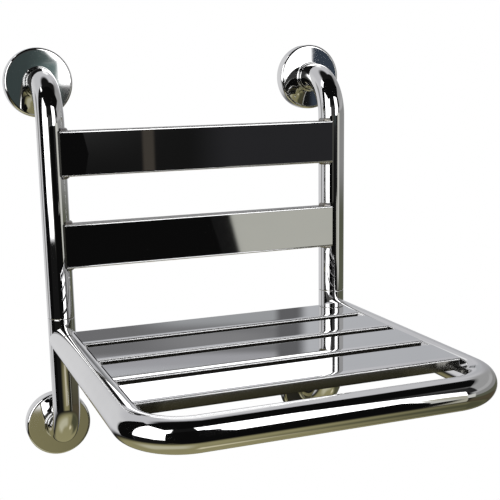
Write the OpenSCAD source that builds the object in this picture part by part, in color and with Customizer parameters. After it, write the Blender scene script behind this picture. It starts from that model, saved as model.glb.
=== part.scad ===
// Wall-mounted shower seat: a bent tube frame with a slatted seat and a two-slat back.
// The origin is on the wall face, midway between the four wall plates.
// +X is to the right, -Y points out from the wall and +Z is up.

/* [Wall fixing] */
// Spacing of the two posts, axis to axis
post_spacing = 352; // [300:1:500]
// Height of the upper wall plates above the lower ones, centre to centre
plate_rise = 424; // [390:1:520]
// Distance from the wall to the axis of the posts
post_standoff = 75; // [70:1:100]
// Height of the seat arms above the lower wall plates, axis to centre
arm_height = 128; // [90:1:150]

/* [Tube] */
// Outside diameter of the frame tube
tube_d = 32; // [28:0.5:35]
// Wall thickness of the frame tube
tube_wall = 1.5; // [1:0.1:2.5]
// Radius of the bends of the posts, at the tube's axis
post_bend_r = 49; // [40:1:52]
// Radius of the front corners of the seat, at the tube's axis
corner_r = 49; // [36:1:50]
// Reach of the seat arms, from the axis of the posts to the axis of the front bar
arm_reach = 354; // [340:1:380]

/* [Seat slats] */
// Depth of each seat slat from front to back, except the rearmost one
seat_slat_w = 55; // [50:0.5:64]
// Width of the drain slots between the seat slats
drain_slot = 15; // [5:0.5:16]
// Open space between the front bar and the front slat
front_space = 39.5; // [35:0.5:70]
// Distance from the axis of the posts to the back of the rearmost slat
rear_space = 32.5; // [22:0.5:50]
// Height of the seat slats' folded edges
seat_slat_lip = 12; // [7:0.5:14]
// Distance of the slats' top below the top of the tube
seat_slat_sink = 1; // [0.6:0.1:3]

/* [Back slats] */
// Height of each back slat
back_slat_h = 51.5; // [35:0.5:60]
// Open space between the two back slats
back_slat_space = 54; // [30:1:60]
// Distance of the upper slat's top edge below the upper wall plates' centre
back_slat_drop = 54; // [53:1:70]
// Depth of the back slats' folded edges
back_slat_lip = 15; // [11:0.5:18]
// Distance of the back slats' front face ahead of the front of the posts
back_slat_proud = 1.5; // [0.5:0.5:4]
// Distance from the axis of each post to the end of the back slats
back_slat_inset = 7; // [5:0.5:9]

/* [Sheet] */
// Thickness of the slats' sheet
sheet_t = 1.2; // [0.8:0.1:1.8]
// Outside radius of the folds of the slats
fold_r = 2; // [2:0.5:5]

/* [Post joints] */
// Height of the joint of the posts above the axis of the seat arms
joint_height = 26; // [22:1:50]
// Chamfer at the two tube ends that meet at a joint
joint_chamfer = 0.6; // [0.3:0.1:1]
// Length of the spigot inside a joint
spigot_l = 60; // [50:1:80]
// Wall thickness of the spigot
spigot_wall = 3; // [2:0.5:4]
// Diameter of the lock screws
lock_screw_d = 6; // [5:1:6]
// Height of the lock screws above a joint
lock_screw_height = 15; // [8:1:20]

/* [Wall plates] */
// Thickness of the wall plates
plate_t = 4; // [3:0.5:6]
// Diameter of the circle of screw holes in a wall plate
screw_circle_d = 54; // [52:1:60]
// Diameter of the screw holes in a wall plate
screw_hole_d = 6; // [4:0.5:7]
// Number of screw holes in a wall plate
screw_count = 3; // [3, 4]

/* [Flange covers] */
// Outside diameter of the flange covers
cover_d = 81; // [78:1:90]
// Depth of the flange covers, from the wall to their flat face
cover_depth = 14; // [12:0.5:16]
// Wall thickness of the flange covers
cover_wall = 1.2; // [0.8:0.1:1.4]
// Radius of the flange covers' outer edge
cover_edge_r = 3; // [2:0.5:5]
// Width and height of the small neck round the tube
cover_neck = 1.6; // [1:0.1:2.5]

/* [Clearances] */
// Gap between a flange cover and the tube
cover_tube_gap = 0.4; // [0.3:0.1:0.8]
// Gap between a flange cover and the wall plate inside it
cover_plate_gap = 0.4; // [0.3:0.1:0.8]
// Gap between a spigot and the tube round it
spigot_gap = 0.1; // [0.05:0.05:0.2]
// Gap between the two tube ends at a joint
seam_gap = 0.3; // [0.2:0.1:0.5]
// Gap between a lock screw and its holes
lock_screw_gap = 0.1; // [0.05:0.05:0.2]
// Root gap where a coped end is welded to a tube
weld_gap = 0.1; // [0.05:0.05:0.2]
// Size of the weld beads
weld_r = 3; // [2:0.5:3.5]

/* [Hidden] */
$fn = 96;
eps = 1;
tube_r = tube_d / 2;
bore_r = tube_r - tube_wall;
post_x = post_spacing / 2;
plate_z = plate_rise / 2;
seat_z = arm_height - plate_z;
joint_z = seat_z + joint_height;
front_y = post_standoff + arm_reach;

// Seat slats, measured forward from the axis of the posts
seat_slat_front = arm_reach - tube_r - front_space;
seat_slat_pitch = seat_slat_w + drain_slot;
seat_slat_top = seat_z + tube_r - seat_slat_sink;
seat_slat_land = 1;
seat_slat_end = sqrt(pow(tube_r, 2) - pow(tube_r - seat_slat_sink, 2)) + seat_slat_land;
seat_slat_l = post_spacing - 2 * seat_slat_end;
rear_slat_w = seat_slat_front - 3 * seat_slat_pitch - rear_space;

// Back slats
back_slat_l = post_spacing - 2 * back_slat_inset;
back_slat_front = post_standoff + tube_r + back_slat_proud;
upper_slat_z = plate_z - back_slat_drop - back_slat_h;
lower_slat_z = upper_slat_z - back_slat_space - back_slat_h;

// Joints of the posts
spigot_r = bore_r - spigot_gap;
spigot_chamfer = 1;
lock_screw_r = lock_screw_d / 2;
lock_screw_sink = 0.2;
lock_screw_l = tube_r - lock_screw_sink - (spigot_r - spigot_wall);
lock_screw_key = 3;
lock_screw_key_depth = 2.5;

// Wall plates and flange covers
cover_r = cover_d / 2;
cover_bore_r = tube_r + cover_tube_gap;
plate_r = cover_r - cover_wall - cover_plate_gap;
plate_chamfer = 0.5;

// Places its children at one wall plate: side is -1 or 1 for left or right, level is -1 or 1 for
// lower or upper. At a lower plate they are mirrored, so that a post bends upwards.
module at_plate(side, level) {
    translate([side * post_x, 0, level * plate_z])
        mirror([0, 0, level < 0 ? 1 : 0])
            children();
}

// Solid round bar along a post: out from the wall, round the bend, then straight to the joint
module post_bar(r, start, length) {
    stub = post_standoff - post_bend_r;
    translate([0, -stub, 0])
        rotate([-90, 0, 0])
            cylinder(r = r, h = stub - start);
    translate([0, -stub, -post_bend_r])
        rotate([0, -90, 180])
            rotate_extrude(angle = 90)
                translate([post_bend_r, 0])
                    circle(r = r);
    translate([0, -post_standoff, -length])
        cylinder(r = r, h = length - post_bend_r);
}

// Ring that cuts a chamfer round the lower end of a tube
module end_chamfer(r, c) {
    rotate_extrude()
        polygon([[r - c, -eps], [r - c, 0], [r, c], [r + eps, c], [r + eps, -eps]]);
}

// Bent tube from a wall plate to the joint, as it hangs from an upper plate
module post_tube(length) {
    difference() {
        post_bar(tube_r, plate_t, length);
        post_bar(bore_r, plate_t - eps, length + eps);
        translate([0, -post_standoff, -length])
            end_chamfer(tube_r, joint_chamfer);
    }
}

// Round bar across the back of a joint, where a lock screw goes
module lock_screw_bar(r) {
    translate([0, -post_standoff, joint_z + lock_screw_height])
        rotate([-90, 0, 0])
            cylinder(r = r, h = tube_r + eps);
}

module upper_post(side) {
    color("#c4c8cc")
        difference() {
            at_plate(side, 1)
                post_tube(plate_z - joint_z - seam_gap / 2);
            translate([side * post_x, 0, 0])
                lock_screw_bar(lock_screw_r + lock_screw_gap);
        }
}

module lower_post(side) {
    color("#b4b6ae")
        at_plate(side, -1)
            post_tube(plate_z + joint_z - seam_gap / 2);
}

// Turned sleeve inside a joint, chamfered at its top for the upper post to slide on
module joint_spigot(side) {
    color("#9a9da0")
        difference() {
            translate([side * post_x, -post_standoff, joint_z - spigot_l / 2])
                rotate_extrude()
                    polygon([
                        [spigot_r - spigot_wall, 0], [spigot_r, 0],
                        [spigot_r, spigot_l - spigot_chamfer],
                        [spigot_r - spigot_chamfer, spigot_l],
                        [spigot_r - spigot_wall, spigot_l]
                    ]);
            translate([side * post_x, 0, 0])
                lock_screw_bar(lock_screw_r + lock_screw_gap / 2);
        }
}

// Hexagon socket screws, sunk just below the back of the posts
module joint_lock_screws() {
    key_r = lock_screw_key / sqrt(3);
    color("#7d8084")
        for (side = [-1, 1])
            translate([side * post_x, -post_standoff, joint_z + lock_screw_height])
                rotate([-90, 0, 0])
                    translate([0, 0, tube_r - lock_screw_sink - lock_screw_l])
                        difference() {
                            cylinder(r = lock_screw_r, h = lock_screw_l);
                            translate([0, 0, lock_screw_l - lock_screw_key_depth])
                                cylinder(r = key_r, h = lock_screw_key_depth + eps, $fn = 6);
                        }
}

// Solid round bar along the seat tube: both arms, both corners and the front bar
module seat_bar(r) {
    for (side = [0, 1])
        mirror([side, 0, 0]) {
            translate([post_x, -post_standoff, seat_z])
                rotate([90, 0, 0])
                    cylinder(r = r, h = arm_reach - corner_r);
            translate([post_x - corner_r, corner_r - front_y, seat_z])
                rotate([0, 0, -90])
                    rotate_extrude(angle = 90)
                        translate([corner_r, 0])
                            circle(r = r);
        }
    translate([corner_r - post_x, -front_y, seat_z])
        rotate([0, 90, 0])
            cylinder(r = r, h = post_spacing - 2 * corner_r);
}

// Upright bars in the place of the straight posts, which cope what is welded to them
module post_cutters(low, high) {
    for (side = [-1, 1])
        translate([side * post_x, -post_standoff, low])
            cylinder(r = tube_r + weld_gap, h = high - low);
}

module seat_frame_tube() {
    color("#c9ccd4")
        difference() {
            seat_bar(tube_r);
            seat_bar(bore_r);
            post_cutters(seat_z - tube_d, seat_z + tube_d);
        }
}

// Section of folded sheet: w wide with its top at h, open below, with rounded folds
module folded_outline(w, h, r) {
    square([w, h - r]);
    translate([r, 0])
        square([w - 2 * r, h]);
    for (x = [r, w - r])
        translate([x, h - r])
            circle(r = r);
}

module folded_section(w, h) {
    difference() {
        folded_outline(w, h, fold_r);
        translate([sheet_t, -eps])
            folded_outline(w - 2 * sheet_t, h - sheet_t + eps, fold_r - sheet_t);
    }
}

// One seat slat, from its front edge back by its width, coped at both ends to the arms
module seat_slat(front, w) {
    color("#a9adb0")
        difference() {
            translate([-seat_slat_l / 2, -post_standoff - front, seat_slat_top - seat_slat_lip])
                rotate([90, 0, 90])
                    linear_extrude(height = seat_slat_l)
                        folded_section(w, seat_slat_lip);
            for (side = [-1, 1])
                translate([side * post_x, -post_standoff, seat_z])
                    rotate([90, 0, 0])
                        cylinder(r = tube_r + weld_gap, h = arm_reach - corner_r);
        }
}

// Slat number from the back: 1 takes what depth is left, 2 to 4 are alike
module numbered_seat_slat(number) {
    front = seat_slat_front - (4 - number) * seat_slat_pitch;
    seat_slat(front, number == 1 ? rear_slat_w : seat_slat_w);
}

// One back slat with its lower edge at height z, coped at both ends to the posts
module back_slat(z) {
    color("#3c3d3f")
        difference() {
            translate([-back_slat_l / 2, back_slat_lip - back_slat_front, z])
                rotate([0, -90, 180])
                    linear_extrude(height = back_slat_l)
                        folded_section(back_slat_h, back_slat_lip);
            post_cutters(z - eps, z + back_slat_h + eps);
        }
}

// Round wall plate with its screw holes, the first one farthest from the seat
module wall_plate(side, level) {
    color("#8d9093")
        at_plate(side, level)
            rotate([90, 0, 0])
                difference() {
                    rotate_extrude()
                        polygon([
                            [0, 0], [plate_r, 0], [plate_r, plate_t - plate_chamfer],
                            [plate_r - plate_chamfer, plate_t], [0, plate_t]
                        ]);
                    for (k = [0 : screw_count - 1])
                        rotate([0, 0, 90 + k * 360 / screw_count])
                            translate([screw_circle_d / 2, 0, -eps])
                                cylinder(d = screw_hole_d, h = plate_t + 2 * eps);
                }
}

// Half section of a cup, from its axis out to r, with its flat face at h and a rounded edge
module cup_outline(r, h, edge) {
    square([r - edge, h]);
    square([r, h - edge]);
    translate([r - edge, h - edge])
        circle(r = edge);
}

// Round cover over a wall plate, with a small neck round the tube
module flange_cover(side, level) {
    color("#bfc2c4")
        at_plate(side, level)
            rotate([90, 0, 0])
                rotate_extrude()
                    difference() {
                        union() {
                            cup_outline(cover_r, cover_depth, cover_edge_r);
                            translate([0, cover_depth - cover_wall])
                                cup_outline(
                                    cover_bore_r + cover_neck, cover_wall + cover_neck, cover_neck / 2);
                        }
                        translate([0, -eps])
                            cup_outline(
                                cover_r - cover_wall, cover_depth - cover_wall + eps,
                                cover_edge_r - cover_wall);
                        translate([0, -eps])
                            square([cover_bore_r, cover_depth + cover_neck + 2 * eps]);
                    }
}

// Quarter-round section of a weld bead against a tube of radius r
module bead_section(r) {
    intersection() {
        translate([r, 0])
            circle(r = weld_r);
        translate([r, 0])
            square(weld_r);
    }
}

// Beads on top of and below each end of the back slats, round the front inner side of the posts
module back_slat_welds() {
    bead_start = asin(sheet_t / tube_r);
    bead_end = acos(back_slat_inset / tube_r) - bead_start;
    color("#84868a")
        for (z = [upper_slat_z, lower_slat_z], side = [0, 1], over = [0, 1])
            mirror([side, 0, 0])
                translate([-post_x, -post_standoff, z + over * back_slat_h])
                    mirror([0, 0, 1 - over])
                        rotate([0, 0, -bead_end])
                            rotate_extrude(angle = bead_end - 2 * bead_start)
                                bead_section(tube_r);
}

// Beads under the ends of the seat slats, along the inner side of the arms
module seat_slat_welds() {
    under_z = seat_slat_top - sheet_t;
    under_x = sqrt(pow(tube_r, 2) - pow(under_z - seat_z, 2));
    color("#84868a")
        for (number = [1 : 4], side = [0, 1]) {
            front = seat_slat_front - (4 - number) * seat_slat_pitch;
            w = number == 1 ? rear_slat_w : seat_slat_w;
            mirror([side, 0, 0])
                difference() {
                    translate([under_x - post_x, fold_r - post_standoff - front, under_z])
                        rotate([-90, 0, 0])
                            linear_extrude(height = w - 2 * fold_r)
                                intersection() {
                                    circle(r = weld_r);
                                    translate([-weld_r, 0])
                                        square([2 * weld_r, weld_r]);
                                }
                    translate([-post_x, -post_standoff, seat_z])
                        rotate([90, 0, 0])
                            cylinder(r = tube_r, h = arm_reach - corner_r);
                }
        }
}

// Bead round the root of each post at its wall plate
module wall_plate_welds() {
    color("#84868a")
        for (side = [-1, 1], level = [-1, 1])
            at_plate(side, level)
                translate([0, -plate_t, 0])
                    rotate([90, 0, 0])
                        rotate_extrude()
                            bead_section(tube_r);
}

upper_post(-1);  // upper_post_left
upper_post(1);  // upper_post_right
lower_post(-1);  // lower_post_left
lower_post(1);  // lower_post_right
joint_spigot(-1);  // joint_spigot_left
joint_spigot(1);  // joint_spigot_right
joint_lock_screws();
seat_frame_tube();
numbered_seat_slat(1);  // seat_slat_1
numbered_seat_slat(2);  // seat_slat_2
numbered_seat_slat(3);  // seat_slat_3
numbered_seat_slat(4);  // seat_slat_4
back_slat(upper_slat_z);  // back_slat_upper
back_slat(lower_slat_z);  // back_slat_lower
wall_plate(-1, 1);  // wall_plate_upper_left
wall_plate(1, 1);  // wall_plate_upper_right
wall_plate(-1, -1);  // wall_plate_lower_left
wall_plate(1, -1);  // wall_plate_lower_right
flange_cover(-1, 1);  // flange_cover_upper_left
flange_cover(1, 1);  // flange_cover_upper_right
flange_cover(-1, -1);  // flange_cover_lower_left
flange_cover(1, -1);  // flange_cover_lower_right
back_slat_welds();
seat_slat_welds();
wall_plate_welds();
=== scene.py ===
"""Wall-mounted shower seat in mirror-polished tube and folded sheet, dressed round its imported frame.

Lengths are in metres. +X is to the right, -Y points out from the wall and +Z is up.
"""

import logging
import math
from dataclasses import dataclass
from enum import Enum
from typing import Any, Iterable, Sequence

import bmesh
import bpy
from bmesh.types import BMEdge, BMesh, BMFace, BMVert
from bpy.types import ColorRamp, Material, Node, NodeSocket, Object, World
from mathutils import Matrix, Vector


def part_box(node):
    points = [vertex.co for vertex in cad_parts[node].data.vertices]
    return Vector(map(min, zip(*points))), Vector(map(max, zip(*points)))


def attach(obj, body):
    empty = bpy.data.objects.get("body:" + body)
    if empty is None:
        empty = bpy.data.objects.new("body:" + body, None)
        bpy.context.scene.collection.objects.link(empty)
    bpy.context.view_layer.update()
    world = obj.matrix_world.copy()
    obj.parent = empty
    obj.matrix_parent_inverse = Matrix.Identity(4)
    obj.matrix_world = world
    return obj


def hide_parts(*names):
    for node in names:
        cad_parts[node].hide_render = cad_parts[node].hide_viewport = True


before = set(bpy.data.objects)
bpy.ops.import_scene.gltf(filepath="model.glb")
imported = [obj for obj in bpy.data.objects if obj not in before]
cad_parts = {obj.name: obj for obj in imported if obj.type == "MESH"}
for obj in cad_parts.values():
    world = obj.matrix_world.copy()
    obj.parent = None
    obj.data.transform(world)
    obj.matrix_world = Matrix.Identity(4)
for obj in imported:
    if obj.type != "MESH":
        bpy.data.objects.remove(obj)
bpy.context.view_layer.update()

log = logging.getLogger("shower_seat")

Pair = tuple[float, float]
Triple = tuple[float, float, float]
Colour = Triple
X_AXIS = Vector((1, 0, 0))
Y_AXIS = Vector((0, 1, 0))
Z_AXIS = Vector((0, 0, 1))
QUARTER = math.pi / 2
HALF_TURN_DEGREES = 180
MAIN_BODY = "frame"
# A coped end keeps this root gap from the tube that it meets.
COPE_GAP = 0.0001


class Place(Enum):
    """One of two places, with the sign of its coordinate."""

    @property
    def word(self) -> str:
        """The word for this place in the names of nodes."""
        return self.name.lower()


class Side(Place):
    """Left or right, as someone facing the wall sees the seat."""

    LEFT = -1
    RIGHT = 1


class Level(Place):
    """The lower or the upper row of wall plates."""

    LOWER = -1
    UPPER = 1


class Slot(Enum):
    """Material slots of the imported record."""

    TUBE = "polished_tube"
    SEAT_SHEET = "polished_seat_sheet"
    BACK_SHEET = "polished_back_sheet"
    COVER = "polished_cover"
    PLATE = "plate_steel"
    TURNED = "turned_steel"
    SCREW = "screw_steel"
    WELD = "weld_steel"


@dataclass(frozen=True)
class SeatSizes:
    """Main sizes of the seat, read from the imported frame."""

    tube_r: float
    post_x: float
    post_y: float
    plate_z: float
    plate_front: float
    upper_end: float
    lower_end: float
    seat_z: float
    front_y: float

    @classmethod
    def from_frame(cls) -> "SeatSizes":
        """Works the sizes out from the boxes of the CAD nodes.

        Returns:
            The sizes, in the frame's own axes.
        """
        low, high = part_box("lower_post_right")
        upper_low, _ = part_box("upper_post_right")
        seat_low, seat_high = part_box("seat_frame_tube")
        tube_r = (high.x - low.x) / 2
        return cls(
            tube_r=tube_r,
            post_x=(high.x + low.x) / 2,
            post_y=low.y + tube_r,
            plate_z=-low.z - tube_r,
            plate_front=high.y,
            upper_end=upper_low.z,
            lower_end=high.z,
            seat_z=(seat_low.z + seat_high.z) / 2,
            front_y=seat_low.y + tube_r,
        )


class Value:
    """A number in a node tree, on which Python arithmetic adds the Math nodes."""

    def __init__(self, nodes: "Nodes", socket: NodeSocket) -> None:
        """Wraps one output socket.

        Args:
            nodes: The maker of the tree's nodes.
            socket: The output socket to wrap.
        """
        self.nodes = nodes
        self.socket = socket

    def _maths(self, operation: str, *terms: "Value | float", clamp: bool = False) -> "Value":
        """Adds one Math node.

        Args:
            operation: The node's operation.
            terms: Its values, in order.
            clamp: Whether the result is kept between 0 and 1.

        Returns:
            The node's output.
        """
        node = self.nodes.add(
            "ShaderNodeMath", {"operation": operation, "use_clamp": clamp}, dict(enumerate(terms)))
        return Value(self.nodes, node.outputs[0])

    def __add__(self, other: "Value | float") -> "Value":
        """Sum."""
        return self._maths("ADD", self, other)

    def __sub__(self, other: "Value | float") -> "Value":
        """Difference."""
        return self._maths("SUBTRACT", self, other)

    def __rsub__(self, other: float) -> "Value":
        """Difference from a plain number."""
        return self._maths("SUBTRACT", other, self)

    def __mul__(self, other: "Value | float") -> "Value":
        """Product."""
        return self._maths("MULTIPLY", self, other)

    def __abs__(self) -> "Value":
        """Size without its sign."""
        return self._maths("ABSOLUTE", self)

    def asin_degrees(self) -> "Value":
        """The angle that has this sine, in degrees."""
        return self._maths("ARCSINE", self) * math.degrees(1)

    def atan2_degrees(self, other: "Value") -> "Value":
        """The angle of a direction with this rise and the other run, in degrees."""
        return self._maths("ARCTAN2", self, other) * math.degrees(1)

    def wrapped(self, limit: float) -> "Value":
        """The same value brought between -limit and limit by whole turns."""
        return self._maths("WRAP", self, limit, -limit)

    def fade(self, start: float, end: float) -> "Value":
        """A smooth step over this value.

        Args:
            start: Where the step is 0.
            end: Where it is 1, which may be below start.

        Returns:
            The step, from 0 to 1.
        """
        rising = end > start
        node = self.nodes.add(
            "ShaderNodeMapRange", {"interpolation_type": "SMOOTHSTEP"},
            {"Value": self, "From Min": min(start, end), "From Max": max(start, end),
             "To Min": 0.0 if rising else 1.0, "To Max": 1.0 if rising else 0.0})
        return Value(self.nodes, node.outputs["Result"])


class Nodes:
    """Adds nodes to one material's or world's tree."""

    def __init__(self, owner: Material | World) -> None:
        """Empties the owner's tree.

        Args:
            owner: The material or world to fill.
        """
        owner.use_nodes = True
        self.tree = owner.node_tree
        self.tree.nodes.clear()

    def add(self, kind: str, settings: dict[str, Any] | None = None,
            sockets: dict[str | int, Any] | None = None) -> Node:
        """Adds one node of any kind.

        Args:
            kind: The node's type name.
            settings: Its properties, set first; "stops" gives a ramp's stops as (place, colour).
            sockets: Values or links of its input sockets, by name or number.

        Returns:
            The new node.
        """
        node = self.tree.nodes.new(kind)
        for name, setting in (settings or {}).items():
            if name == "stops":
                self._set_stops(node.color_ramp, setting)
            else:
                setattr(node, name, setting)
        for name, given in (sockets or {}).items():
            if isinstance(given, Value):
                given = given.socket
            if isinstance(given, NodeSocket):
                self.tree.links.new(given, node.inputs[name])
            elif isinstance(given, tuple) and len(given) == 3 and node.inputs[name].type == "RGBA":
                node.inputs[name].default_value = (*given, 1.0)
            else:
                node.inputs[name].default_value = given
        return node

    @staticmethod
    def _set_stops(ramp: ColorRamp, stops: Sequence[tuple[float, Colour]]) -> None:
        """Gives a colour ramp its stops.

        Args:
            ramp: The ramp.
            stops: Place and colour of each stop.
        """
        while len(ramp.elements) < len(stops):
            ramp.elements.new(0.5)
        for element, (place, colour) in zip(ramp.elements, stops):
            element.position = place
            element.color = (*colour, 1.0)

    def seen_by_camera(self) -> NodeSocket:
        """Whether it is the camera itself that looks, and no reflection."""
        return self.add("ShaderNodeLightPath").outputs["Is Camera Ray"]

    def noise(self, scale: float, detail: float, stretch: Triple = (1, 1, 1)) -> Value:
        """Cloudy noise over the object, in the frame's own metres.

        Args:
            scale: Cells to a metre.
            detail: How many finer layers it has.
            stretch: Stretch of the pattern along each axis.

        Returns:
            The noise, from 0 to 1.
        """
        where = self.add("ShaderNodeTexCoord").outputs["Object"]
        place = self.add("ShaderNodeMapping", None, {"Vector": where, "Scale": stretch})
        cloud = self.add("ShaderNodeTexNoise", None, {
            "Vector": place.outputs["Vector"], "Scale": scale, "Detail": detail})
        return Value(self, cloud.outputs["Fac"])

    def mix(self, factor: Any, first: Any, second: Any) -> NodeSocket:
        """Mixes two colours.

        Args:
            factor: Share of the second colour, as a value or socket.
            first: Colour or socket.
            second: Colour or socket.

        Returns:
            The mixed colour's socket.
        """
        node = self.add(
            "ShaderNodeMix", {"data_type": "RGBA"}, {"Factor": factor, 6: first, 7: second})
        return node.outputs[2]

    def bump(self, height: Value, depth: float, under: NodeSocket | None = None) -> NodeSocket:
        """Turns a height into a bent normal.

        Args:
            height: The height, from 0 to 1.
            depth: What a height of 1 means, in metres.
            under: A normal that is already bent.

        Returns:
            The normal's socket.
        """
        sockets = {"Height": height, "Distance": depth, "Strength": 1.0}
        if under is not None:
            sockets["Normal"] = under
        return self.add("ShaderNodeBump", None, sockets).outputs["Normal"]

    def metal(self, colour: Any, roughness: Any, normal: NodeSocket) -> None:
        """Ends a material as bare metal.

        Args:
            colour: Base colour or its socket.
            roughness: Roughness or its socket.
            normal: The normal's socket.
        """
        self.end(self.add("ShaderNodeBsdfPrincipled", None, {
            "Base Color": colour, "Metallic": 1.0, "Roughness": roughness, "Normal": normal}))

    def glow(self, colour: Colour) -> Node:
        """Adds a shader that gives off an even light."""
        return self.add("ShaderNodeEmission", None, {"Color": colour, "Strength": 1.0})

    def end(self, shader: Node) -> None:
        """Ends a material with its shader."""
        self.add("ShaderNodeOutputMaterial", None, {"Surface": shader.outputs[0]})


@dataclass(frozen=True)
class Finish:
    """What every finish has: a name, and one material that its own nodes fill."""

    name: str

    def fill(self, nodes: Nodes) -> None:
        """Adds the finish's nodes to an empty tree."""
        raise NotImplementedError

    def material(self) -> Material:
        """Builds the material.

        Returns:
            The finished material.
        """
        made = bpy.data.materials.new(self.name)
        self.fill(Nodes(made))
        return made


@dataclass(frozen=True)
class MirrorFinish(Finish):
    """Mirror-polished stainless steel, with the faint haze and waves that polishing leaves.

    wave and hairline are depths in metres, the scales count cells to a metre, and the fades say
    between which values of its noise the haze or the wiping sets in.
    """

    clean: Colour
    hazy: Colour
    gloss: float
    haze: float
    wave: float
    wave_scale: float
    hairline: float
    grain: Triple
    haze_scale: float = 7
    haze_fade: Pair = (0.42, 0.72)
    wipe_scale: float = 90
    wipe_fade: Pair = (0.35, 0.8)
    wipe_share: float = 0.3
    hairline_scale: float = 900

    def fill(self, nodes: Nodes) -> None:
        """Adds the haze, the wiping marks, the waves and the hairlines.

        Args:
            nodes: The material's nodes.
        """
        haze = nodes.noise(self.haze_scale, detail=3).fade(*self.haze_fade)
        wiped = nodes.noise(self.wipe_scale, detail=2, stretch=self.grain).fade(*self.wipe_fade)
        cover = haze * (1 - self.wipe_share) + wiped * self.wipe_share
        waves = nodes.bump(nodes.noise(self.wave_scale, detail=1), self.wave)
        grain = nodes.noise(self.hairline_scale, detail=1, stretch=self.grain)
        lines = nodes.bump(grain, self.hairline, waves)
        nodes.metal(*self.surface(nodes, cover), lines)

    def surface(self, nodes: Nodes, cover: Value) -> tuple[Any, Any]:
        """Colour and roughness of the metal.

        Args:
            nodes: The material's nodes.
            cover: How hazy the metal is, from 0 to 1.

        Returns:
            The colour and the roughness.
        """
        return (nodes.mix(cover, self.clean, self.hazy),
                cover * (self.haze - self.gloss) + self.gloss)


@dataclass(frozen=True)
class SheetFinish(MirrorFinish):
    """Sheet polished on its face, with duller folds, ends painted dark as shadow, and a mill skin on
    its lips and back whose colour is darkened as painted shade.

    face is the number of the axis that the polished face lies square to, and sign the way it faces.
    The fades say how square the surface is to that axis where a fold or a lip sets in and is full,
    and to the X axis where an end face does; the end faces are painted near black as the shadow in
    their gap to the tube.
    """

    face: int = 2
    sign: float = 1.0
    fold_gloss: float = 0.38
    # Colour of the lips and back: a dull mill skin, darkened to paint the shade in the drain slots and
    # under the slats.
    mill: Colour = (0.15, 0.147, 0.135)
    mill_gloss: float = 0.22
    # Painted shadow: the end faces are near black, standing for the dark gap where the slat meets the
    # tube.
    cut: Colour = (0.02, 0.02, 0.02)
    fold_fade: Pair = (0.9995, 0.96)
    lip_fade: Pair = (0.45, 0.12)
    end_fade: Pair = (0.5, 0.9)

    def surface(self, nodes: Nodes, cover: Value) -> tuple[Any, Any]:
        """Colour and roughness, dulled wherever the sheet turns away from its face, with painted shade
        on its lips and back and painted shadow on its ends.

        Args:
            nodes: The material's nodes.
            cover: How hazy the metal is, from 0 to 1.

        Returns:
            The colour and the roughness.
        """
        colour, gloss = super().surface(nodes, cover)
        normal = nodes.add("ShaderNodeTexCoord").outputs["Normal"]
        parts = nodes.add("ShaderNodeSeparateXYZ", None, {"Vector": normal})
        facing = Value(nodes, parts.outputs[self.face]) * self.sign
        fold = facing.fade(*self.fold_fade)
        # The lips and back get the mill skin colour with its painted shade.
        lip = facing.fade(*self.lip_fade)
        # The end faces get the near-black painted shadow of their gap to the tube.
        shaded_ends = abs(Value(nodes, parts.outputs["X"])).fade(*self.end_fade)
        dulled = gloss * (1 - fold) + fold * self.fold_gloss
        return (nodes.mix(lip, colour, nodes.mix(shaded_ends, self.mill, self.cut)),
                dulled + lip * (self.mill_gloss - self.fold_gloss))


@dataclass(frozen=True)
class BrushedFinish(Finish):
    """Plain stainless steel with a brushed grain and a dull skin."""

    light: Colour
    dark: Colour
    roughness: float
    spread: float
    grain: Triple
    depth: float
    stroke_scale: float = 420
    cloud_scale: float = 26
    cloud_fade: Pair = (0.35, 0.7)

    def fill(self, nodes: Nodes) -> None:
        """Adds the strokes of the brush and the clouds of the skin.

        Args:
            nodes: The material's nodes.
        """
        strokes = nodes.noise(self.stroke_scale, detail=4, stretch=self.grain)
        clouds = nodes.noise(self.cloud_scale, detail=4).fade(*self.cloud_fade)
        nodes.metal(nodes.mix(clouds, self.light, self.dark),
                    strokes * self.spread + self.roughness, nodes.bump(strokes, self.depth))


@dataclass(frozen=True)
class WeldFinish(Finish):
    """Weld metal, wiped clean, with a trace of the tints that heat leaves."""

    tints: tuple[tuple[float, Colour], ...]
    roughness: float
    spread: float
    depth: float
    heat_scale: float = 160
    pit_scale: float = 1500

    def fill(self, nodes: Nodes) -> None:
        """Adds the heat tints and the pits.

        Args:
            nodes: The material's nodes.
        """
        heat = nodes.noise(self.heat_scale, detail=2)
        pits = nodes.noise(self.pit_scale, detail=3)
        tint = nodes.add("ShaderNodeValToRGB", {"stops": self.tints}, {"Fac": heat}).outputs["Color"]
        nodes.metal(tint, pits * self.spread + self.roughness, nodes.bump(pits, self.depth))


POLISHED_TUBE = MirrorFinish(
    "polished tube", clean=(0.80, 0.80, 0.80), hazy=(0.74, 0.74, 0.745), gloss=0.02, haze=0.05,
    wave=0.00002, wave_scale=14, hairline=0.0000008, grain=(1, 1, 1))
POLISHED_SEAT = SheetFinish(
    "polished seat sheet", clean=(0.79, 0.79, 0.80), hazy=(0.74, 0.74, 0.75), gloss=0.02, haze=0.05,
    wave=0.00001, wave_scale=9, hairline=0.0000008, grain=(0.05, 1, 1), face=2, sign=1.0)
POLISHED_BACK = SheetFinish(
    "polished back sheet", clean=(0.80, 0.80, 0.80), hazy=(0.76, 0.76, 0.765), gloss=0.015, haze=0.03,
    wave=0.000006, wave_scale=8, hairline=0.0000006, grain=(0.05, 1, 1), face=1, sign=-1.0)
POLISHED_COVER = MirrorFinish(
    "polished cover", clean=(0.81, 0.81, 0.81), hazy=(0.75, 0.75, 0.755), gloss=0.02, haze=0.05,
    wave=0.000004, wave_scale=30, hairline=0.0000005, grain=(1, 1, 1))
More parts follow.
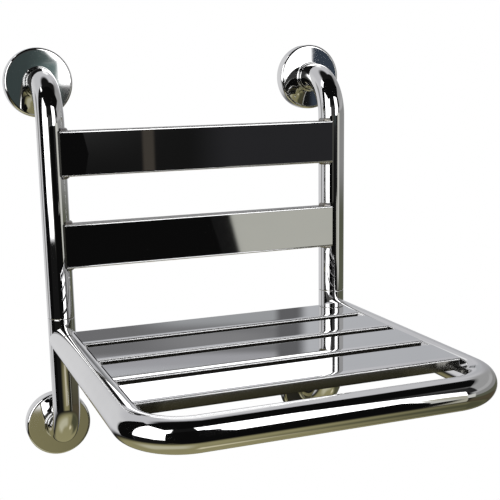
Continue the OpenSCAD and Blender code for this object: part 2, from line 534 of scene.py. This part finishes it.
PLATE_STEEL = BrushedFinish(
    "wall plate steel", light=(0.62, 0.62, 0.61), dark=(0.46, 0.46, 0.45), roughness=0.26, spread=0.2,
    grain=(0.06, 1, 1), depth=0.00002)
TURNED_STEEL = BrushedFinish(
    "turned steel", light=(0.64, 0.64, 0.63), dark=(0.52, 0.52, 0.51), roughness=0.2, spread=0.18,
    grain=(0.1, 0.1, 2.5), depth=0.00002)
SCREW_STEEL = BrushedFinish(
    "screw steel", light=(0.48, 0.48, 0.49), dark=(0.34, 0.34, 0.35), roughness=0.28, spread=0.2,
    grain=(1, 0.2, 1), depth=0.00001)
WELD_STEEL = WeldFinish(
    "weld metal",
    tints=((0.30, (0.36, 0.355, 0.34)), (0.45, (0.31, 0.29, 0.25)), (0.55, (0.25, 0.23, 0.23)),
           (0.68, (0.33, 0.33, 0.33))),
    roughness=0.16, spread=0.22, depth=0.00002)


def set_down(mesh: BMesh, name: str, material: Material | None = None) -> Object:
    """Makes an object of a bmesh.

    Args:
        mesh: The shape, in place, in the frame's own axes. It is freed here.
        name: The object's name.
        material: Its material, if it has one.

    Returns:
        The new object, in the scene.
    """
    data = bpy.data.meshes.new(name)
    mesh.to_mesh(data)
    mesh.free()
    if material:
        data.materials.append(material)
    made = bpy.data.objects.new(name, data)
    bpy.context.scene.collection.objects.link(made)
    return made


class Bench:
    """Turns meshes and CAD nodes into finished pieces that ride on the frame."""

    def __init__(self) -> None:
        """Starts with no material made."""
        self._made: dict[str, Material] = {}

    def material(self, finish: Finish) -> Material:
        """Finds the one material of a finish, which is made when it is first asked for.

        Args:
            finish: The finish.

        Returns:
            Its material.
        """
        if finish.name not in self._made:
            self._made[finish.name] = finish.material()
        return self._made[finish.name]

    def piece(self, mesh: BMesh, name: str, nodes: Iterable[str], body: str, finish: Finish
              ) -> Object:
        """Makes an object of a finished bmesh that stands for CAD nodes.

        Args:
            mesh: The shape, in place, in the frame's own axes. It is freed here.
            name: The piece's name.
            nodes: The CAD nodes that it stands for.
            body: The body that it moves with.
            finish: Its finish.

        Returns:
            The new object.
        """
        smooth_by_angle(mesh)
        made = set_down(mesh, name, self.material(finish))
        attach(made, body)
        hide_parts(*nodes)
        log.info("%s: %d faces", name, len(made.data.polygons))
        return made

    def dress(self, node: str, finish: Finish) -> None:
        """Gives a CAD node its finish.

        Args:
            node: The node's name.
            finish: Its finish.
        """
        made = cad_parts[node]
        made.data.materials.clear()
        made.data.materials.append(self.material(finish))
        log.info("%s: dressed", node)


def smooth_by_angle(mesh: BMesh, limit: float = math.radians(32)) -> None:
    """Shades a mesh smooth, with its corners left sharp.

    Args:
        mesh: The mesh.
        limit: The angle past which an edge stays sharp.
    """
    for face in mesh.faces:
        face.smooth = True
    for edge in mesh.edges:
        edge.smooth = len(edge.link_faces) == 2 and edge.calc_face_angle() < limit


def only(kind: type, items: Iterable[Any]) -> list[Any]:
    """The items of one kind among those that an operator returns."""
    return [item for item in items if isinstance(item, kind)]


class TubeSweep:
    """Sweeps the flat ring of a tube's section along the tube, stretch by stretch."""

    def __init__(self, radius: float, wall: float, centre: Vector, facing: Vector, sides: int,
                 hold: float = 0.001) -> None:
        """Makes the section that the tube starts from.

        Args:
            radius: Outer radius.
            wall: Thickness of the tube's wall.
            centre: Centre of the section.
            facing: The way that the tube sets out.
            sides: How many sides it has.
            hold: Distance of the holding rings from the ends of a straight stretch.
        """
        turn = facing.to_track_quat("Z", "Y").to_matrix().to_4x4()
        self.mesh = bmesh.new()
        self.centre = centre.copy()
        self.hold = hold
        made = bmesh.ops.create_circle(
            self.mesh, cap_ends=True, segments=sides, radius=radius,
            matrix=Matrix.Translation(centre) @ turn)
        disc = made["verts"][0].link_faces[0]
        self.section = bmesh.ops.inset_region(
            self.mesh, faces=[disc], thickness=wall, use_boundary=True, use_even_offset=True)["faces"]
        bmesh.ops.delete(self.mesh, geom=[disc], context="FACES_ONLY")
        self.first = self.verts()

    def edges(self) -> list[BMEdge]:
        """The edges of the section that the sweep has reached."""
        return list(dict.fromkeys(edge for face in self.section for edge in face.edges))

    def verts(self) -> list[BMVert]:
        """The vertices of the section that the sweep has reached."""
        return list(dict.fromkeys(vert for face in self.section for vert in face.verts))

    def geometry(self) -> list[Any]:
        """Everything of the section that the sweep has reached."""
        return self.section + self.edges() + self.verts()

    def straight_to(self, axis: int, place: float) -> "TubeSweep":
        """Adds a straight stretch, with a ring close to each end so that its shading stays straight.

        Args:
            axis: Number of the coordinate that changes.
            place: Its value at the end of the stretch.

        Returns:
            The sweep itself.
        """
        length = place - self.centre[axis]
        hold = math.copysign(min(self.hold, abs(length) / 3), length)
        for run in (hold, length - 2 * hold, hold):
            step = Vector((0, 0, 0))
            step[axis] = run
            made = bmesh.ops.extrude_face_region(self.mesh, geom=self.geometry())
            self.section = only(BMFace, made["geom"])
            bmesh.ops.translate(self.mesh, verts=self.verts(), vec=step)
            self.centre += step
        return self

    def bend(self, pivot: Vector, axis: Vector, angle: float, steps: int) -> "TubeSweep":
        """Adds a bend.

        Args:
            pivot: Centre of the bend.
            axis: Axis that it turns about.
            angle: How far it turns.
            steps: How many rings it has.

        Returns:
            The sweep itself.
        """
        made = bmesh.ops.spin(
            self.mesh, geom=self.geometry(), cent=pivot, axis=axis, angle=angle, steps=steps)
        self.section = only(BMFace, made["geom_last"])
        self.centre = pivot + Matrix.Rotation(angle, 3, axis) @ (self.centre - pivot)
        return self

    def round_rim(self, wall: float, size: float, steps: int) -> "TubeSweep":
        """Rounds the outer rim of the end that the sweep has reached.

        Args:
            wall: Thickness of the tube's wall.
            size: Width of the rounding.
            steps: How many faces it has.

        Returns:
            The sweep itself.
        """
        outside = max((vert.co - self.centre).length for vert in self.verts()) - wall / 2
        rim = [edge for edge in self.edges()
               if all((vert.co - self.centre).length > outside for vert in edge.verts)]
        bmesh.ops.bevel(self.mesh, geom=rim, offset=size, segments=steps, profile=0.5,
                        affect="EDGES", material=-1)
        return self

    def finished(self) -> BMesh:
        """Turns the faces outwards and hands the mesh over."""
        bmesh.ops.recalc_face_normals(self.mesh, faces=self.mesh.faces[:])
        return self.mesh


class Pen:
    """Draws an outline as a chain of edges, one stretch after another."""

    def __init__(self, mesh: BMesh, start: Vector) -> None:
        """Sets the pen down.

        Args:
            mesh: The mesh to draw in.
            start: Where the outline begins.
        """
        self.mesh = mesh
        self.first = self.tip = bmesh.ops.create_vert(mesh, co=start)["vert"][0]

    def line(self, step: Vector, cuts: int = 1) -> "Pen":
        """Draws a straight stretch.

        Args:
            step: From the tip to the end of the stretch.
            cuts: How many edges it has.

        Returns:
            The pen itself.
        """
        for _ in range(cuts):
            self.tip = bmesh.ops.extrude_vert_indiv(self.mesh, verts=[self.tip])["verts"][0]
            bmesh.ops.translate(self.mesh, verts=[self.tip], vec=step / cuts)
        return self

    def held_line(self, step: Vector, hold: float) -> "Pen":
        """Draws a straight stretch with a short edge at each end, so that its face stays flat.

        Args:
            step: From the tip to the end of the stretch.
            hold: Length of the short edges.

        Returns:
            The pen itself.
        """
        short = step.normalized() * hold
        return self.line(short).line(step - 2 * short).line(short)

    def arc(self, centre: Vector, axis: Vector, angle: float, steps: int) -> "Pen":
        """Draws a round stretch.

        Args:
            centre: Centre of the arc.
            axis: Axis that it turns about.
            angle: How far it turns.
            steps: How many edges it has.

        Returns:
            The pen itself.
        """
        made = bmesh.ops.spin(
            self.mesh, geom=[self.tip], cent=centre, axis=axis, angle=angle, steps=steps)
        self.tip = only(BMVert, made["geom_last"])[0]
        return self

    def close(self) -> None:
        """Joins the tip to the start."""
        bmesh.ops.contextual_create(self.mesh, geom=[self.tip, self.first])


@dataclass(frozen=True)
class TubeFrame:
    """The bent posts and the U-shaped seat tube.

    cope_margin is the length of tube that is cut into to fit it round the posts.
    """

    sizes: SeatSizes
    wall: float = 0.0015
    post_bend_r: float = 0.049
    corner_r: float = 0.049
    end_round: float = 0.0006
    lock_hole_r: float = 0.0031
    lock_hole_rise: float = 0.015
    lock_hole_sides: int = 40
    sides: int = 96
    bend_steps: int = 44
    end_steps: int = 3
    cope_margin: float = 0.005

    def build(self, bench: Bench) -> None:
        """Makes the four posts and the seat tube.

        Args:
            bench: Where the pieces are finished.
        """
        for side in Side:
            for level in Level:
                name = f"{level.word}_post_{side.word}"
                made = bench.piece(self._post(side, level), f"{name}_tube", [name], MAIN_BODY,
                                   POLISHED_TUBE)
                if level is Level.UPPER:
                    self._drill(made, side)
        bench.piece(self._seat_tube(), "seat_frame_bent_tube", ["seat_frame_tube"], MAIN_BODY,
                    POLISHED_TUBE)

    def _post(self, side: Side, level: Level) -> BMesh:
        """Bends one post from its wall plate to its joint.

        Args:
            side: Which side it stands on.
            level: Whether it is an upper or a lower post.

        Returns:
            The post's mesh.
        """
        sizes = self.sizes
        post_x = side.value * sizes.post_x
        turn_y = sizes.post_y + self.post_bend_r
        pivot = Vector((post_x, turn_y, level.value * (sizes.plate_z - self.post_bend_r)))
        end = sizes.upper_end if level is Level.UPPER else sizes.lower_end
        start = Vector((post_x, sizes.plate_front, level.value * sizes.plate_z))
        tube = TubeSweep(sizes.tube_r, self.wall, start, -Y_AXIS, self.sides)
        tube.straight_to(1, turn_y)
        tube.bend(pivot, X_AXIS, level.value * QUARTER, self.bend_steps)
        if level is Level.UPPER:
            hole_z = end + self.lock_hole_rise
            tube.straight_to(2, hole_z + 2 * self.lock_hole_r)
            tube.straight_to(2, hole_z - 2 * self.lock_hole_r)
        tube.straight_to(2, end)
        return tube.round_rim(self.wall, self.end_round, self.end_steps).finished()

    def _drill(self, post: Object, side: Side) -> None:
        """Cuts the hole of the lock screw through the back of an upper post.

        Args:
            post: The post's object.
            side: Which post it is.
        """
        sizes = self.sizes
        drill = bmesh.new()
        centre = Vector((side.value * sizes.post_x, sizes.post_y + sizes.tube_r,
                         sizes.upper_end + self.lock_hole_rise))
        bmesh.ops.create_cone(
            drill, cap_ends=True, segments=self.lock_hole_sides, radius1=self.lock_hole_r,
            radius2=self.lock_hole_r, depth=sizes.tube_r,
            matrix=Matrix.Translation(centre) @ Matrix.Rotation(QUARTER, 4, "X"))
        cutter = set_down(drill, "drill")
        cut = post.modifiers.new("lock screw hole", "BOOLEAN")
        cut.operation = "DIFFERENCE"
        cut.solver = "EXACT"
        cut.object = cutter
        graph = bpy.context.evaluated_depsgraph_get()
        drilled = bmesh.new()
        drilled.from_object(post, graph)
        post.modifiers.clear()
        smooth_by_angle(drilled)
        drilled.to_mesh(post.data)
        drilled.free()
        bpy.data.objects.remove(cutter)

    def _seat_tube(self) -> BMesh:
        """Bends the seat tube from the left post round the front to the right post.

        Returns:
            The seat tube's mesh, with both ends coped round the posts.
        """
        sizes = self.sizes
        cope_y = sizes.post_y - sizes.tube_r - self.cope_margin
        corner_y = sizes.front_y + self.corner_r
        corner_x = sizes.post_x - self.corner_r
        start = Vector((-sizes.post_x, sizes.post_y, sizes.seat_z))
        tube = TubeSweep(sizes.tube_r, self.wall, start, -Y_AXIS, self.sides)
        tube.straight_to(1, cope_y)
        tube.straight_to(1, corner_y)
        tube.bend(Vector((-corner_x, corner_y, sizes.seat_z)), Z_AXIS, QUARTER, self.bend_steps)
        tube.straight_to(0, corner_x)
        tube.bend(Vector((corner_x, corner_y, sizes.seat_z)), Z_AXIS, QUARTER, self.bend_steps)
        tube.straight_to(1, cope_y)
        tube.straight_to(1, sizes.post_y)
        cope_r = sizes.tube_r + COPE_GAP
        for vert in tube.first + tube.verts():
            across = abs(vert.co.x) - sizes.post_x
            vert.co.y = sizes.post_y - math.sqrt(max(cope_r ** 2 - across ** 2, 0))
        return tube.finished()


@dataclass(frozen=True)
class FoldedSlat:
    """A slat of folded sheet, coped at both ends round the tubes that carry it.

    corner is the middle of its first fold's sharp corner, across runs over its width, and inward
    runs from its face towards its open side. The face rolls off by the angle roll towards the first
    fold, on a radius of roll_r. tube_line and tube_x give the axes of the two tubes, and cope_r the
    radius of the copes.
    """

    corner: Vector
    across: Vector
    inward: Vector
    width: float
    lip: float
    half_length: float
    tube_x: float
    tube_line: Vector
    cope_r: float
    roll: float = 0.0
    roll_r: float = 0.11
    sheet: float = 0.0012
    fold_r: float = 0.002
    hold: float = 0.0004
    fold_steps: int = 10
    roll_steps: int = 6
    lip_cuts: int = 8

    def mesh(self) -> BMesh:
        """Folds, thickens and copes the slat.

        Returns:
            The slat's mesh.
        """
        mesh = bmesh.new()
        fold, axis = self.fold_r, -X_AXIS
        spare = self.roll_r - fold
        sunk = self.roll_r - spare * math.cos(self.roll)
        flat_start = fold + spare * math.sin(self.roll)
        flat_run = self.across * (self.width - fold - flat_start)
        edge = self.corner - X_AXIS * self.half_length

        def at(over: float, deep: float) -> Vector:
            """A point of the section by its distance over the face and its depth behind it."""
            return edge + self.across * over + self.inward * deep

        pen = Pen(mesh, at(0, self.lip))
        pen.line(-self.inward * (self.lip - sunk), self.lip_cuts)
        pen.arc(at(fold, sunk), axis, QUARTER - self.roll, self.fold_steps)
        if self.roll:
            pen.arc(at(flat_start, self.roll_r), axis, self.roll, self.roll_steps)
        pen.held_line(flat_run, self.hold)
        pen.arc(at(self.width - fold, fold), axis, QUARTER, self.fold_steps)
        pen.line(self.inward * (self.lip - fold), self.lip_cuts)
        swept = bmesh.ops.extrude_edge_only(mesh, edges=mesh.edges[:])
        bmesh.ops.translate(
            mesh, verts=only(BMVert, swept["geom"]), vec=2 * self.half_length * X_AXIS)
        bmesh.ops.recalc_face_normals(mesh, faces=mesh.faces[:])
        bmesh.ops.solidify(mesh, geom=mesh.faces[:], thickness=self.sheet)
        for vert in mesh.verts:
            off_line = (vert.co - self.tube_line).dot(self.inward)
            reach = self.tube_x - math.sqrt(max(self.cope_r ** 2 - off_line ** 2, 0))
            if abs(off_line) < self.cope_r:
                vert.co.x = math.copysign(min(self.half_length, reach), vert.co.x)
        return mesh


@dataclass(frozen=True)
class SeatSlats:
    """The four seat slats, each in the box of its own node."""

    sizes: SeatSizes
    count: int = 4
    end_gap: float = 0.0007
    roll: float = math.radians(3.5)

    def build(self, bench: Bench) -> None:
        """Makes the slats.

        Args:
            bench: Where the pieces are finished.
        """
        sizes = self.sizes
        for number in range(1, self.count + 1):
            node = f"seat_slat_{number}"
            low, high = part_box(node)
            slat = FoldedSlat(
                corner=Vector((0, low.y, high.z)), across=Y_AXIS, inward=-Z_AXIS, width=high.y - low.y,
                lip=high.z - low.z, half_length=high.x - self.end_gap, tube_x=sizes.post_x,
                tube_line=sizes.seat_z * Z_AXIS, cope_r=sizes.tube_r + COPE_GAP, roll=self.roll)
            bench.piece(slat.mesh(), f"{node}_folded", [node], MAIN_BODY,
                        POLISHED_SEAT)


@dataclass(frozen=True)
class Backrest:
    """The two back slats, each in the box of its own node."""

    sizes: SeatSizes

    def build(self, bench: Bench) -> None:
        """Makes the slats.

        Args:
            bench: Where the pieces are finished.
        """
        sizes = self.sizes
        for level in Level:
            node = f"back_slat_{level.word}"
            low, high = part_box(node)
            slat = FoldedSlat(
                corner=Vector((0, low.y, low.z)), across=Z_AXIS, inward=Y_AXIS, width=high.z - low.z,
                lip=high.y - low.y, half_length=high.x, tube_x=sizes.post_x,
                tube_line=sizes.post_y * Y_AXIS, cope_r=sizes.tube_r + COPE_GAP)
            bench.piece(slat.mesh(), f"{node}_folded", [node], MAIN_BODY,
                        POLISHED_BACK)


@dataclass(frozen=True)
class FlangeCovers:
    """The four round covers over the wall plates, which slide along the tube."""

    wall: float = 0.0012
    edge_r: float = 0.003
    neck: float = 0.0016
    bore_r: float = 0.0164
    root_r: float = 0.0007
    hold: float = 0.0003
    merge: float = 0.000001
    turns: int = 144
    edge_steps: int = 8
    neck_steps: int = 5

    def build(self, bench: Bench) -> None:
        """Makes the covers.

        Args:
            bench: Where the pieces are finished.
        """
        for side in Side:
            for level in Level:
                place = f"{level.word}_{side.word}"
                node = f"flange_cover_{place}"
                bench.piece(self._cover(node), f"{node}_spun", [node], f"cover_{place}",
                            POLISHED_COVER)

    def _cover(self, node: str) -> BMesh:
        """Draws half the section of a cover, from the wall round to the wall, and turns it.

        Args:
            node: The node whose box the cover fills.

        Returns:
            The cover's mesh.
        """
        low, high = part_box(node)
        centre = Vector(((low.x + high.x) / 2, 0, (low.z + high.z) / 2))
        radius = (high.x - low.x) / 2
        face = high.y - low.y - self.neck
        out, back = X_AXIS, -Y_AXIS
        neck_round = self.neck / 2
        neck_r = self.bore_r + self.neck
        root_out = neck_r + self.root_r
        mesh = bmesh.new()

        def at(distance: float, height: float) -> Vector:
            """A point of the section by its distance from the axis and its height off the wall."""
            return centre + out * distance + back * height

        pen = Pen(mesh, at(radius, 0))
        pen.line(back * (face - self.edge_r))
        pen.arc(at(radius - self.edge_r, face - self.edge_r), -Z_AXIS, QUARTER, self.edge_steps)
        pen.held_line(out * (root_out - radius + self.edge_r), self.hold)
        pen.arc(at(root_out, face + self.root_r), Z_AXIS, QUARTER, self.neck_steps)
        pen.line(back * (self.neck - self.root_r - neck_round))
        pen.arc(at(neck_r - neck_round, face + self.neck - neck_round), -Z_AXIS, 2 * QUARTER,
                2 * self.neck_steps)
        pen.line(-back * (self.neck - neck_round + self.wall))
        pen.held_line(out * (radius - self.edge_r - self.bore_r), self.hold)
        pen.arc(at(radius - self.edge_r, face - self.edge_r), Z_AXIS, QUARTER, self.edge_steps)
        pen.line(-back * (face - self.edge_r))
        pen.close()
        bmesh.ops.spin(mesh, geom=mesh.verts[:] + mesh.edges[:], cent=centre, axis=Y_AXIS,
                       angle=4 * QUARTER, steps=self.turns, use_merge=True)
        bmesh.ops.remove_doubles(mesh, verts=mesh.verts[:], dist=self.merge)
        bmesh.ops.recalc_face_normals(mesh, faces=mesh.faces[:])
        return mesh


@dataclass(frozen=True)
class HiddenSteel:
    """Wall plates, spigots, lock screws and welds, which keep their CAD shapes."""

    def build(self, bench: Bench) -> None:
        """Dresses the CAD nodes.

        Args:
            bench: Where the pieces are finished.
        """
        for side in Side:
            bench.dress(f"joint_spigot_{side.word}", TURNED_STEEL)
            for level in Level:
                bench.dress(f"wall_plate_{level.word}_{side.word}", PLATE_STEEL)
        bench.dress("joint_lock_screws", SCREW_STEEL)
        for place in ("back_slat", "seat_slat", "wall_plate"):
            bench.dress(f"{place}_welds", WELD_STEEL)


@dataclass(frozen=True)
class Panel:
    """One patch of the room as the polished steel sees it.

    azimuth is in degrees from straight in front of the seat towards its right, and elevation in
    degrees above the horizon. lean is how far the patch moves in azimuth for each degree up.
    """

    name: str
    azimuth: float
    elevation: float
    half_width: float
    half_height: float
    shade: Colour
    soft_width: float = 1.0
    soft_height: float = 1.0
    lean: float = 0.0

    def paint(self, nodes: Nodes, azimuth: Value, elevation: Value, under: Any) -> NodeSocket:
        """Lays the panel over what is behind it.

        Args:
            nodes: The world's nodes.
            azimuth: Azimuth of the direction that is looked in.
            elevation: Its elevation.
            under: Colour of what is behind the panel.

        Returns:
            The new colour's socket.
        """
        above = elevation - self.elevation
        beside = azimuth - self.azimuth
        if self.lean:
            beside = beside - above * self.lean
        wide = abs(beside.wrapped(HALF_TURN_DEGREES)).fade(
            self.half_width + self.soft_width, self.half_width - self.soft_width)
        tall = abs(above).fade(
            self.half_height + self.soft_height, self.half_height - self.soft_height)
        painted = nodes.mix(wide * tall, under, self.shade)
        painted.node.label = self.name
        return painted


FLOOR_SHADE: Colour = (0.31, 0.285, 0.15)
CEILING_SHADE: Colour = (0.009, 0.009, 0.009)
WINDOW_LIGHT: Colour = (2.6, 2.6, 2.6)
# The room, from the back to the front: each panel is painted over the ones above it.
ROOM_PANELS = (
    Panel("sunlit floor", -55, -56, 55, 11, (0.54, 0.52, 0.37), 20, 7),
    Panel("sunlit floor, near", 50, -69, 16, 5, (0.70, 0.65, 0.45), 8, 4),
    Panel("shaded floor", 85, -47, 42, 14, (0.08, 0.08, 0.045), 14, 8),
    Panel("pale wall", 189.5, 20.5, 72.5, 44.5, (0.62, 0.62, 0.64), 3, 6),
    Panel("brightest part of the pale wall", 216, 4, 34, 24, (0.74, 0.74, 0.75), 12, 10),
    Panel("duller part of the pale wall", 130, 0, 16, 22, (0.43, 0.43, 0.45), 10, 10),
    Panel("lamp on the pale wall", 160, 42, 9, 7, (1.15, 1.15, 1.15), 3, 3),
    Panel("near end of the pale wall", 235, 2, 7, 18, (0.28, 0.28, 0.28), 3, 4),
    Panel("shelves", 162, 15.0, 7.6, 4.2, (0.175, 0.175, 0.18), 0.4, 0.5),
    Panel("lit part of the shelves", 160.5, 15.5, 3.5, 0.5, (0.245, 0.245, 0.25), 2.5, 0.3),
    Panel("top shelf", 159.4, 12.0, 5, 2.6, (0.36, 0.37, 0.38), 2.0, 0.35),
    Panel("bottom shelf", 162, 17.7, 8, 1.4, (0.39, 0.39, 0.41), 1, 0.25),
    Panel("lit edge of the bottom shelf", 163, 18.4, 8, 1.3, (0.52, 0.53, 0.55), 2, 0.2),
    Panel("gap beside the shelves", 155.6, 14.9, 0.9, 2.6, (0.13, 0.13, 0.135), 0.3, 0.4),
    Panel("shelf end", 148.4, 15, 6.4, 3, (0.50, 0.51, 0.53), 0.5, 1),
    Panel("grey wall", 88, 18, 42, 24, (0.37, 0.37, 0.37), 8, 6),
    Panel("lighter course of the grey wall", 82, 12, 36, 6, (0.45, 0.45, 0.45), 8, 2),
    Panel("duller course of the grey wall", 88, 0, 42, 7, (0.29, 0.29, 0.285), 8, 2.5),
    Panel("plinth of the grey wall", 88, -13, 42, 6.5, (0.11, 0.115, 0.08), 8, 2),
    Panel("skirting of the grey wall", 85, -25, 44, 7, (0.085, 0.07, 0.042), 8, 4),
    Panel("dark column", 49, 27, 8, 14, (0.022, 0.022, 0.022), 2, 3),
    Panel("left window", -68, 26.5, 32, 33.5, WINDOW_LIGHT, 2, 1.0),
    Panel("left window, low part", -46, 3.5, 18, 12.3, WINDOW_LIGHT, 3.5, 0.4),
    Panel("room ahead", -7, 9, 21, 11, (0.05, 0.05, 0.05), 4, 3),
    Panel("room ahead, low part", -16, -4, 9, 5, (0.09, 0.09, 0.08), 3, 1.5),
    Panel("right window", 23.2, 31.3, 12.2, 30.85, WINDOW_LIGHT, 0.8, 0.15),
    Panel("right window, far end", 32.5, 36, 5.5, 19, WINDOW_LIGHT, 0.8, 1.5, 0.1),
    Panel("counter", 40.5, -4.0, 10, 8.0, (0.64, 0.64, 0.60), 1.5, 1.0),
    Panel("counter edge", 34.7, -10, 1.3, 20, (0.45, 0.44, 0.36), 0.6, 3, -0.17),
    Panel("foot of the right window", 10.6, 2.03, 1.0, 1.58, WINDOW_LIGHT, 0.1, 0.15),
    Panel("lit edge of the slate screen", 6.75, -0.2, 3.72, 2.0, (0.13, 0.19, 0.185), 0.1, 0.2),
    Panel("top of the slate screen", 6.25, 2.6, 3.27, 0.9, (0.09, 0.125, 0.12), 0.12, 0.1, -1.1),
    Panel("slate screen", 5.9, 0.4, 3.6, 2.8, (0.045, 0.06, 0.06), 1.0, 0.2),
    Panel("navy screen", 27.5, 1.5, 1.8, 3, (0.04, 0.053, 0.073), 0.15, 0.5),
    Panel("dim board", 24, -3.6, 4.5, 2, (0.022, 0.022, 0.024), 1.5, 0.5),
    Panel("brown post", 15.7, -3.5, 0.35, 1.7, (0.055, 0.048, 0.04), 0.12, 0.4),
    Panel("beige board", 25.5, -8.8, 4.6, 2.0, (0.50, 0.50, 0.45), 0.15, 0.4, -0.25),
    Panel("olive mat", -8, -22.5, 22, 6.5, (0.28, 0.255, 0.13), 14, 2.0),
    Panel("pale stripe on the mat", -5, -17.5, 6, 2.0, (0.68, 0.63, 0.49), 6, 2.0),
    Panel("chip of light on the mat", 8, -18.6, 1.0, 0.5, (1.2, 1.2, 1.2), 0.3, 0.3),
)


@dataclass(frozen=True)
class Board:
    """A dark board close to the seat, which is seen only in its polish.

    outline holds points of the board's plane, along its two directions from its origin.
    """

    name: str
    origin: Triple
    along: Triple
    rise: Triple
    outline: tuple[Pair, ...]
    shade: Colour = (0.004, 0.004, 0.004)

    def build(self) -> None:
        """Makes the board and hides it from everything but reflections."""
        along, rise = Vector(self.along).normalized(), Vector(self.rise)
        points = [Vector(self.origin) + along * run + rise * height for run, height in self.outline]
        mesh = bmesh.new()
        pen = Pen(mesh, points[0])
        for here, after in zip(points, points[1:]):
            pen.line(after - here)
        pen.close()
        bmesh.ops.contextual_create(mesh, geom=mesh.edges[:])
        dark = bpy.data.materials.new(self.name)
        nodes = Nodes(dark)
        nodes.end(nodes.glow(self.shade))
        board = set_down(mesh, self.name, dark)
        board.visible_camera = board.visible_diffuse = board.visible_shadow = False


BOARDS = (
    Board("canopy", (0, 0, 1.05), (1, 0, 0), (0, 1, 0),
          ((-0.95, -1.10), (1.30, -1.10), (1.30, -0.15), (-0.95, -0.15))),
    Board("side_board", (-0.748, 0.065, 0), (-0.152, -0.4, 0), (0, 0, 1),
          ((0, -0.46), (0.428, -0.46), (0.428, 1.05), (0, 1.05))),
    Board("stand", (0, -0.71, 0), (1, 0, 0), (0, 0, 1),
          ((-0.41, -0.25), (0.265, -0.25), (0.25, -0.123), (0.228, -0.055), (0.215, -0.004),
           (0.10, -0.02), (-0.004, -0.025), (-0.014, 0.05), (-0.006, 0.09), (-0.018, 0.145),
           (-0.014, 0.165), (-0.30, 0.165), (-0.41, 0.14))),
)


@dataclass(frozen=True)
class Studio:
    """Camera, floor, boards and room. Angles are in degrees, and lens and sensor in millimetres."""

    eye: Triple = (-0.3574, -1.1251, 0.2007)
    yaw: float = -19.906
    pitch: float = -10.326
    roll: float = 5.208
    lens: float = 66.33
    sensor: float = 36.0
    shift: Pair = (0.08, 0.05)
    near: float = 0.01
    floor_z: float = -0.52
    floor_half: float = 6.0
    floor_colour: Colour = (0.86, 0.86, 0.86)
    backdrop: Colour = (1.0, 1.0, 1.0)
    horizon_fade: Pair = (-42, -29)

    def build(self) -> None:
        """Sets the whole stage."""
        self._camera()
        self._floor()
        for board in BOARDS:
            board.build()
        self._room()
        bpy.context.scene.view_settings.view_transform = "Standard"

    def _camera(self) -> None:
        """Places the camera at the photograph's viewing angle."""
        data = bpy.data.cameras.new("camera")
        data.lens = self.lens
        data.sensor_width = self.sensor
        data.shift_x, data.shift_y = self.shift
        data.clip_start = self.near
        camera = bpy.data.objects.new("camera", data)
        camera.matrix_world = (
            Matrix.Translation(self.eye)
            @ Matrix.Rotation(math.radians(self.roll), 4, "Y")
            @ Matrix.Rotation(math.radians(self.pitch), 4, "X")
            @ Matrix.Rotation(math.radians(self.yaw), 4, "Z")
            @ Matrix.Rotation(QUARTER, 4, "X"))
        bpy.context.scene.collection.objects.link(camera)
        bpy.context.scene.camera = camera

    def _floor(self) -> None:
        """Lays the pale floor, which the camera sees as plain white."""
        mesh = bmesh.new()
        bmesh.ops.create_grid(mesh, x_segments=1, y_segments=1, size=self.floor_half,
                              matrix=Matrix.Translation((0, 0, self.floor_z)))
        pale = bpy.data.materials.new("pale floor")
        nodes = Nodes(pale)
        seen = nodes.seen_by_camera()
        matt = nodes.add("ShaderNodeBsdfDiffuse", None, {"Color": self.floor_colour})
        plain = nodes.glow(self.backdrop)
        nodes.end(nodes.add(
            "ShaderNodeMixShader", None, {0: seen, 1: matt.outputs[0], 2: plain.outputs[0]}))
        floor = set_down(mesh, "floor", pale)
        floor.visible_glossy = False

    def _room(self) -> None:
        """Fills the world with the room that the steel reflects, white where the camera sees it."""
        world = bpy.data.worlds.new("room")
        bpy.context.scene.world = world
        nodes = Nodes(world)
        way = nodes.add("ShaderNodeTexCoord").outputs["Generated"]
        parts = nodes.add("ShaderNodeSeparateXYZ", None, {"Vector": way})
        along, out, rise = (Value(nodes, parts.outputs[axis]) for axis in "XYZ")
        azimuth = along.atan2_degrees(out * -1)
        elevation = rise.asin_degrees()
        colour = nodes.mix(elevation.fade(*self.horizon_fade), FLOOR_SHADE, CEILING_SHADE)
        for panel in ROOM_PANELS:
            colour = panel.paint(nodes, azimuth, elevation, colour)
        colour = nodes.mix(nodes.seen_by_camera(), colour, self.backdrop)
        sky = nodes.add("ShaderNodeBackground", None, {"Color": colour, "Strength": 1.0})
        nodes.add("ShaderNodeOutputWorld", None, {"Surface": sky.outputs[0]})


def main() -> None:
    """Builds the seat and its stage."""
    logging.basicConfig(level=logging.INFO, format="%(name)s: %(message)s")
    sizes = SeatSizes.from_frame()
    bench = Bench()
    Studio().build()
    for part in (TubeFrame(sizes), SeatSlats(sizes), Backrest(sizes), FlangeCovers(), HiddenSteel()):
        part.build(bench)


if __name__ == "__main__":
    main()
